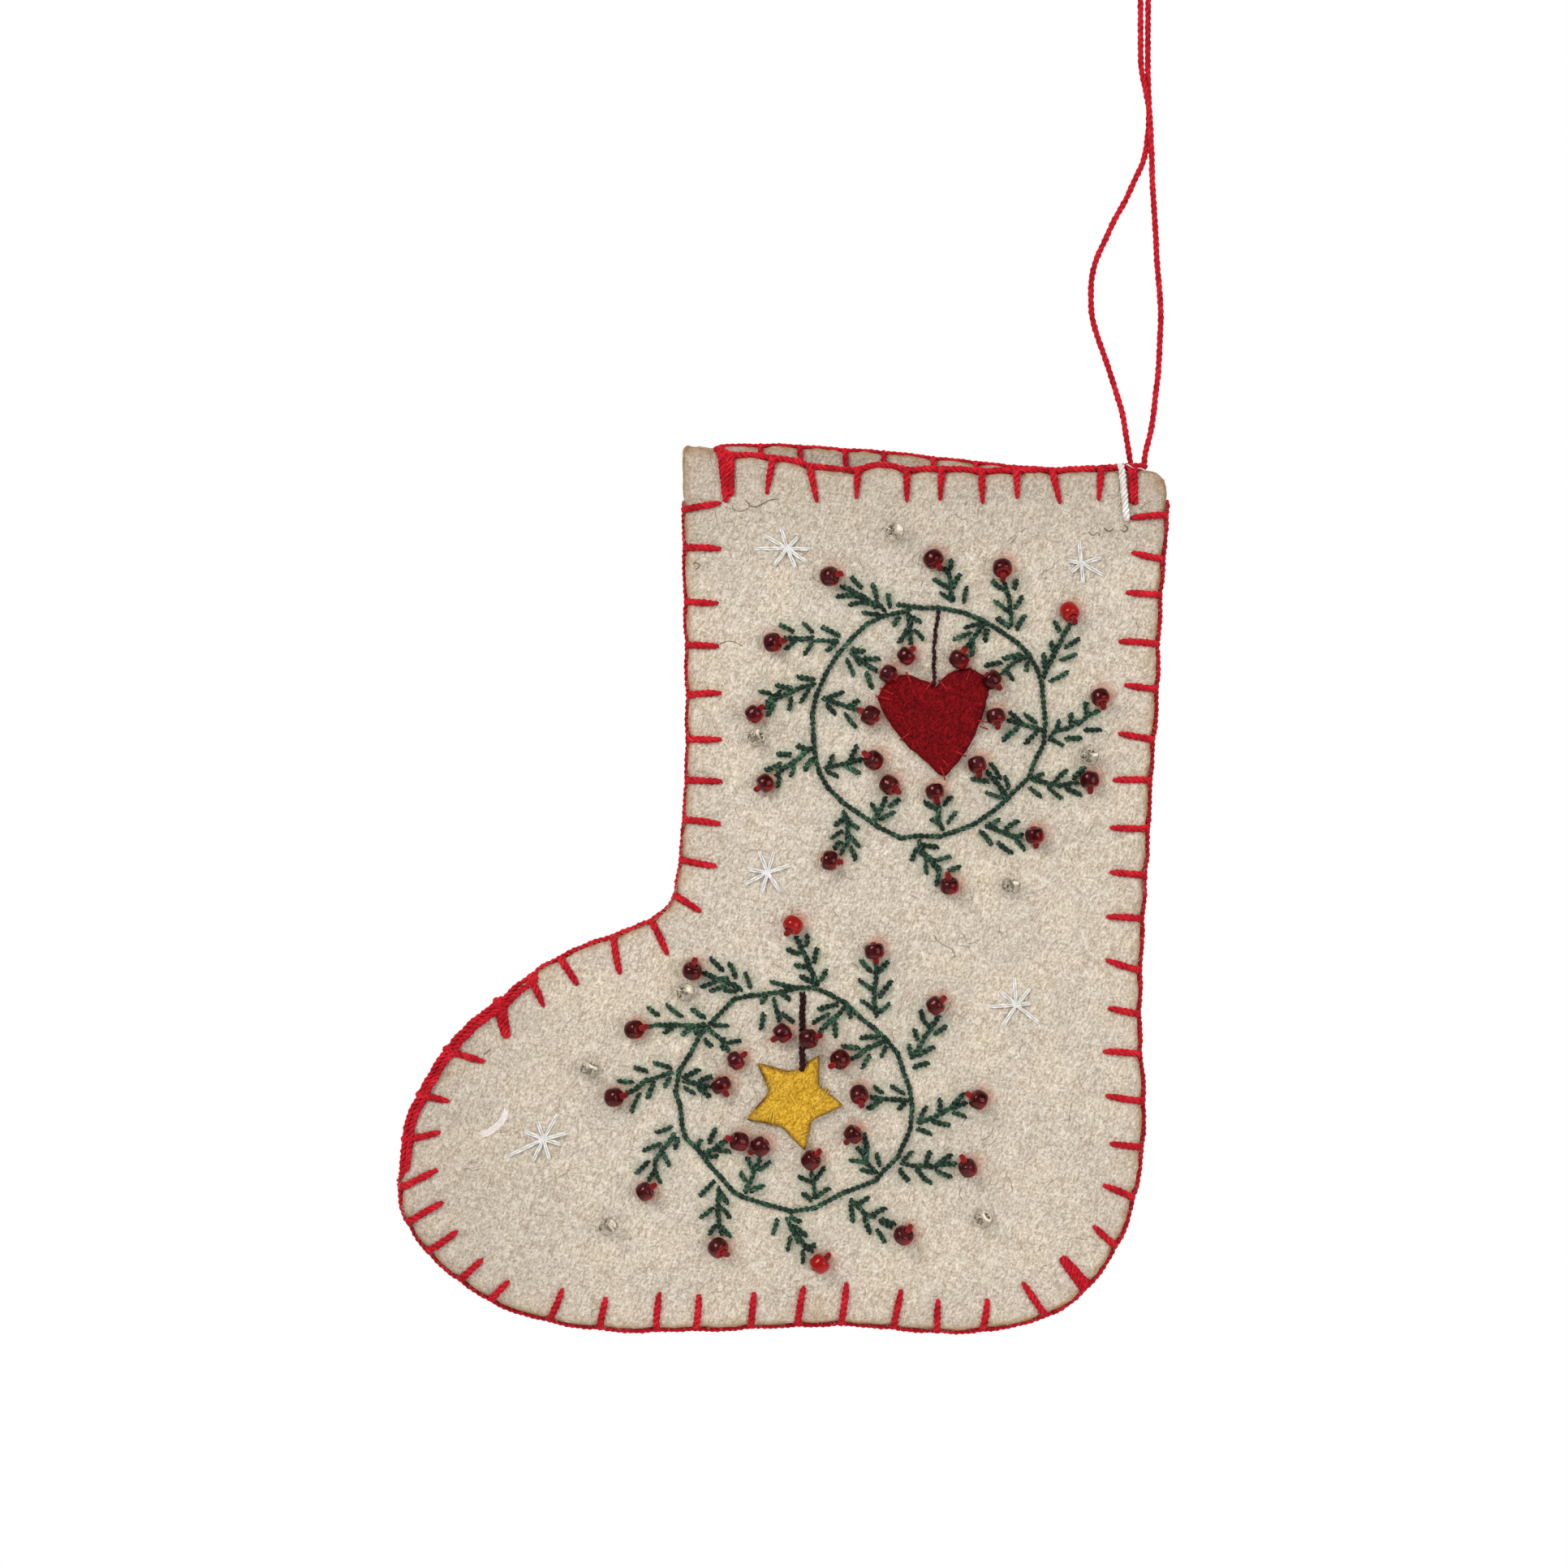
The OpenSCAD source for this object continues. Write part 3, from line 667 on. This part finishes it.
// Thread that rises from the felt, runs through the bore and goes down again.
module bead_thread(point, aim) {
  dir = unit(aim);
  axis = bead_depth(point);
  half = bead_l / 2 + 0.12;
  slack = 0.3; // extra spread of the second foot
  foot = outer_depth(point) + bead_gap;
  top = axis + thread_d / 2;
  under = axis - thread_d / 2;
  translate([point[0], 0, point[1]])
    multmatrix([[dir[0], 0, -dir[1], 0], [0, -1, 0, 0], [dir[1], 0, dir[0], 0], [0, 0, 0, 1]])
      linear_extrude(height = thread_d, center = true)
        polygon([
          [-half - thread_d, foot], [-half, foot], [-half, under], [half, under],
          [half + slack, foot], [half + thread_d + slack, foot], [half + thread_d, top],
          [-half - thread_d, top]
        ]);
}
module beads(list, centre)
  for (sprig = list) bead(centre + sprig[0], sprig[1] - sprig[0]);
module bead_threads(list, centre)
  for (sprig = list) bead_thread(centre + sprig[0], sprig[1] - sprig[0]);
module clear_beads(list, centre)
  for (m = list) bead(centre + [m[0], m[1]], [cos(m[2]), sin(m[2])]);
module clear_threads(list, centre)
  for (m = list) bead_thread(centre + [m[0], m[1]], [cos(m[2]), sin(m[2])]);

module snow(list, centre) for (flake = list) for (end = flake[1]) {
  start = flake[0] + unit(end - flake[0]) * snow_hole_r;
  height = snow_d / 2 + stitch_gap;
  bar(on_front(centre + start, height), on_front(centre + end, height), snow_d / 2);
}

// Flat felt cut-out, set off the front felt at the wreath centre.
function applique_depth(centre) = outer_depth(centre) + applique_gap;
module applique(points, centre, dents) difference() {
  translate([0, -applique_depth(centre), 0]) rotate([90, 0, 0])
    linear_extrude(height = applique_t) polygon([for (p = points) centre + p]);
  for (sprig = dents) bead_dent(centre + sprig[0]);
}
module tacks(list, centre) {
  y = -(applique_depth(centre) + applique_t + thread_d / 2 + stitch_gap);
  for (tack = list) {
    from = centre + tack[0];
    to = centre + tack[1];
    bar([from[0], y, from[1]], [to[0], y, to[1]], thread_d / 2);
  }
}
// Thread carried from bead to bead behind the front panel.
module floats(list, centre) for (i = [0:len(list) - 2])
  bar(inside_front(centre + list[i][0], float_depth),
    inside_front(centre + list[i + 1][0], float_depth), thread_d / 2, 0.2);
module knots(list, centre) for (p = list)
  translate(inside_front(centre + p, 0.04)) rotate([-90, 0, 0])
    cylinder(h = 0.5, r = 0.7, $fn = 24);

// Smooth path through [x, z] points in the parting plane, in n steps.
function smooth(list, n) = [
  for (k = [0:n]) let (p = list_at(list, k / n * (len(list) - 1))) [p[0], 0, p[1]]
];
// Stem strand that passes in front of the other (side -1) or behind it (+1) where they cross.
function crossing_path(list, side) = [
  for (p = smooth(list, 24))
    [p[0], side * yarn_d * 0.56 * exp(-pow((p[2] - crossing_z) / crossing_spread, 2)), p[2]]
];

// ---- Felt ----
rows = [for (rib = [0:0.5:last_rib]) rib];
window_rows = len([for (rib = rows) if (rib < flex_rib) rib]);
share_l = flex_left;
share_r = 1 - flex_right;
middle_cols = [0.2, 0.35, 0.5, 0.65, 0.8];
back_cols = [0, 0.05, 0.12, 0.22, 0.36, 0.5, 0.64, 0.78, 0.88, 0.95, 1];
front_cols = concat([0, 0.05, share_l], middle_cols, [share_r, 0.95, 1]);
gap_share = flex_gap / norm(felt_edge(4, 1) - felt_edge(4, 0));
flap_cols = concat([share_l + gap_share], middle_cols, [share_r - gap_share]);
flap_end = flex_rib - flex_gap / (ribs[flex_rib - 1][1] - ribs[flex_rib][1]);
flap_rows = concat([for (rib = rows) if (rib < flap_end) rib], [flap_end]);

module front_panel() color(cream) sheet(rows, front_cols, -1, window_rows, 2, 8);
module front_panel_mouth() color(cream) sheet(flap_rows, flap_cols, -1);
module back_panel() color(cream) sheet(rows, back_cols, 1);

// ---- Seam and hem yarn ----
module seam_stitching_instep() color(red) {
  for (stitch = instep_stitches) seam_stitch(stitch);
  seam_stitch(instep_wide_stitch, yarn_d * 1.5);
  sweep(edge_path(1.35, 13.9, 0, 40), yarn_d / 2);
}
module seam_stitching_sole() color(red) {
  for (stitch = sole_stitches) seam_stitch(stitch);
  sweep(concat(edge_path(14.05, 21.7, 0, 26), edge_path(21.9, 14.2, 1, 30)), yarn_d / 2);
}
module seam_stitching_back() color(red) {
  seam_stitch(back_wide_stitch, yarn_d * 1.4);
  for (stitch = back_stitches) seam_stitch(stitch);
  sweep(edge_path(14.1, 1.3, 1, 40), yarn_d / 2);
}
module front_hem_stitching() color(red) {
  for (stitch = front_hem) hem_stitch(stitch, -1);
  sweep(mouth_path(front_hem_ends, -1), yarn_d / 2);
}
module back_hem_stitching() color(red) {
  for (stitch = back_hem) hem_stitch(stitch, 1);
  sweep(mouth_path(back_hem_ends, 1), yarn_d / 2);
}
module hem_corner_stitch_left() color(red) hem_stitch([-62.28, 0, 6.48], -1, yarn_d * 1.9);
module hem_corner_stitch_right() color(red) hem_stitch([-1.8, 0, 4.92], -1, yarn_d * 1.3);
module white_corner_cord() color(white) hem_stitch([-3.36, 0.36, 7.2], -1);

// ---- Hanging loop ----
module loop_eye() color(red) {
  radius = yarn_d / 2;
  centre_r = eye_r + radius - eye_bite;
  half = eye_wrap / 2;
  bend_top = bend_z + 0.9;
  rotate([90, 0, 0]) rotate([0, 0, 90 - half]) rotate_extrude(angle = eye_wrap)
    intersection() {
      translate([centre_r, 0]) circle(r = radius);
      translate([eye_r, -radius]) square([2 * radius, 2 * radius]);
    }
  for (s = [-1, 1]) {
    x = s * strand_x;
    bar(centre_r * [s * sin(half), 0, cos(half)], [x, 0, bend_top], radius * 0.94);
    bar([x, 0, bend_top], [x, 0, bend_z], radius * 0.9);
    for (z = [bend_z, bend_top]) translate([x, 0, z]) sphere(r = radius);
  }
}
module loop_stem_left() color(red) sweep(crossing_path(stem_left, -1), yarn_d / 2);
module loop_stem_right() color(red) sweep(crossing_path(stem_right, 1), yarn_d / 2);
module loop_leg_left() color(red) sweep(smooth(leg_left, 34), yarn_d / 2);
module loop_leg_right() color(red) sweep(smooth(leg_right, 30), yarn_d / 2);
// Ends of the loop below the swing point, down between the panels to the anchor knot.
module loop_root() color(red) {
  x = pivot[0];
  z = pivot[1];
  translate([x, 0, z]) rotate([90, 0, 0]) cylinder(h = yarn_d, r = 0.6, center = true);
  bar([x, 0, z - 0.2], [x, 0, z - 1.6], yarn_d * 0.46);
  for (root = [root_left, root_right]) sweep(smooth(root, 8), yarn_d / 2 - 0.02);
}
module loop_anchor_knot() color(red)
  translate([anchor_knot[0], 0, anchor_knot[1]]) rotate([90, 0, 0])
    cylinder(h = 2 * inner_depth(anchor_knot) - 0.06, r = 1.1, center = true, $fn = 24);

// ---- Embroidery ----
module upper_wreath_ring() color(green) ring(upper_ring, upper);
module lower_wreath_ring() color(green) ring(lower_ring, lower);
module upper_outer_sprigs() color(green) sprigs(upper_outer, upper);
module upper_inner_sprigs() color(green) sprigs(upper_inner, upper);
module lower_outer_sprigs() color(green) sprigs(lower_outer, lower);
module lower_inner_sprigs() color(green) sprigs(lower_inner, lower);
module upper_snow_stars() color(white) snow(upper_snow, upper);
module lower_snow_stars() color(white) {
  snow(lower_snow, lower);
  chain(crescent, lower, snow_d / 2, stitch_gap, chain_trim);
}
module heart_applique() color(red) applique(heart, upper, upper_inner);
module star_applique() color(gold) applique(star, lower, lower_inner);
module heart_hanger_thread() color(brown) hanger(heart_hanger, upper);
module star_hanger_thread() color(brown) hanger(star_hanger, lower);
module heart_tacks() color(red) tacks(heart_tack_ends, upper);
module star_tacks() color(gold) tacks(star_tack_ends, lower);

// ---- Beads and their thread ----
module upper_outer_beads() color(ruby) beads(upper_outer, upper);
module upper_inner_beads() color(ruby) beads(upper_inner, upper);
module lower_outer_beads() color(ruby) beads(lower_outer, lower);
module lower_inner_beads() color(ruby) beads(lower_inner, lower);
module upper_bead_threads() color(red) {
  bead_threads(upper_outer, upper);
  bead_threads(upper_inner, upper);
}
module lower_bead_threads() color(red) {
  bead_threads(lower_outer, lower);
  bead_threads(lower_inner, lower);
}
module upper_clear_beads() color(clear_glass) clear_beads(upper_clear, upper);
module lower_clear_beads() color(clear_glass) clear_beads(lower_clear, lower);
module upper_clear_bead_threads() color(cream) clear_threads(upper_clear, upper);
module lower_clear_bead_threads() color(cream) clear_threads(lower_clear, lower);

// ---- Back of the embroidery, inside the pocket ----
module upper_thread_floats() color(red) floats(upper_outer, upper);
module lower_thread_floats() color(red) floats(lower_outer, lower);
module upper_thread_knots() color(green) knots(upper_knots, upper);
module lower_thread_knots() color(green) knots(lower_knots, lower);

loop_eye();
loop_stem_left();
loop_stem_right();
loop_leg_left();
loop_leg_right();
loop_root();
loop_anchor_knot();
front_panel();
front_panel_mouth();
back_panel();
seam_stitching_instep();
seam_stitching_sole();
seam_stitching_back();
front_hem_stitching();
back_hem_stitching();
hem_corner_stitch_left();
hem_corner_stitch_right();
white_corner_cord();
upper_wreath_ring();
upper_outer_sprigs();
upper_inner_sprigs();
upper_outer_beads();
upper_inner_beads();
upper_bead_threads();
upper_clear_beads();
upper_clear_bead_threads();
upper_snow_stars();
heart_applique();
heart_hanger_thread();
heart_tacks();
upper_thread_floats();
upper_thread_knots();
lower_wreath_ring();
lower_outer_sprigs();
lower_inner_sprigs();
lower_outer_beads();
lower_inner_beads();
lower_bead_threads();
lower_clear_beads();
lower_clear_bead_threads();
lower_snow_stars();
star_applique();
star_hanger_thread();
star_tacks();
lower_thread_floats();
lower_thread_knots();
